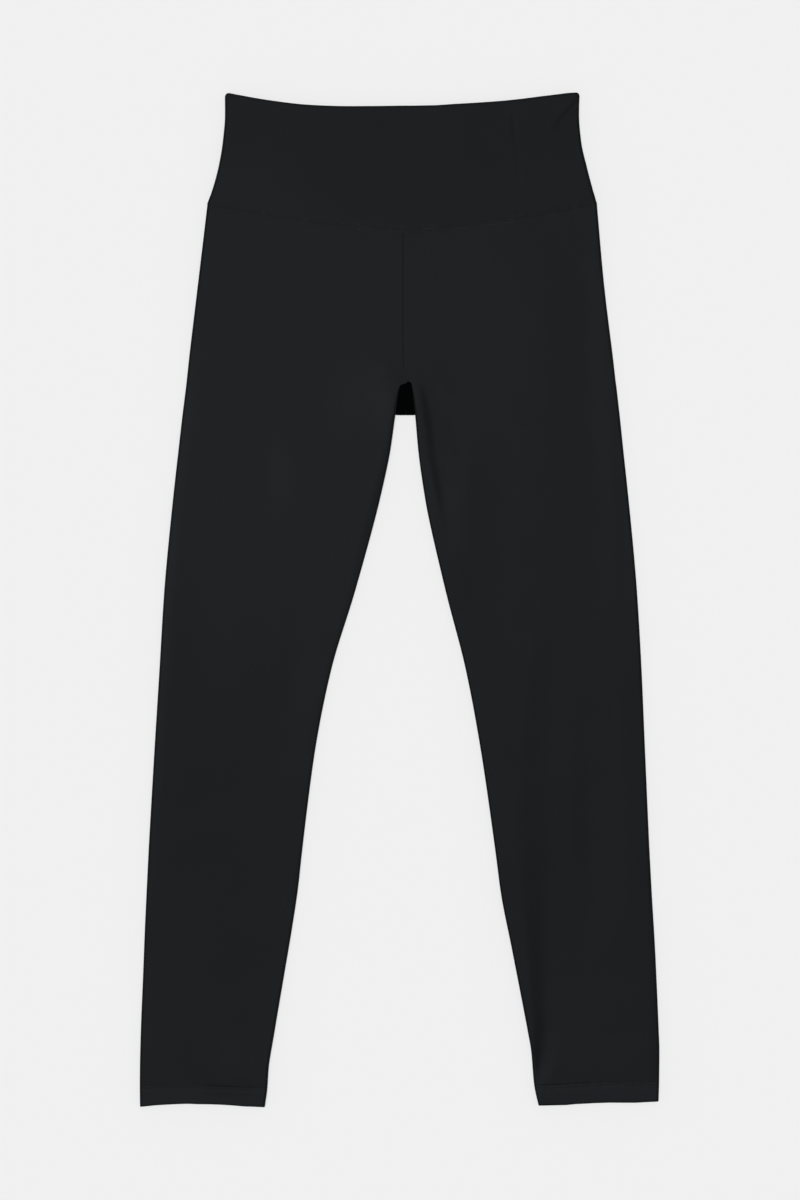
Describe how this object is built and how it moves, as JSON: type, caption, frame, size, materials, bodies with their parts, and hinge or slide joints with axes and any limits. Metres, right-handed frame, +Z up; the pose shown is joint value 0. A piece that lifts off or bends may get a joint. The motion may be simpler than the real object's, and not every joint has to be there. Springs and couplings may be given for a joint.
{
  "type": "high-waisted leggings laid flat",
  "caption": "High-waisted knit leggings laid flat with the front up, with a wide doubled waistband, legs wrapped round the side, a small dark gusset and turned-up hems.",
  "frame": {"origin": "on the surface that the garment lies on, under the middle of its outline", "axes": "+Y towards the waist, +X towards the wearer's left, +Z up out of the garment's front"},
  "size_m": [0.467, 0.9133, 0.0047],
  "materials": {
    "leg_knit": "matte smooth near-black stretch knit",
    "waistband_knit": "matte smooth near-black stretch knit, doubled",
    "gusset_knit": "deep black matte knit",
    "thread": "black polyester sewing thread with a faint gloss"
  },
  "bodies": {
    "root": {"waistband_front": "waistband_knit", "waistband_back": "waistband_knit", "leg_left": "leg_knit", "leg_right": "leg_knit", "gusset": "gusset_knit"}
  },
  "joints": []
}
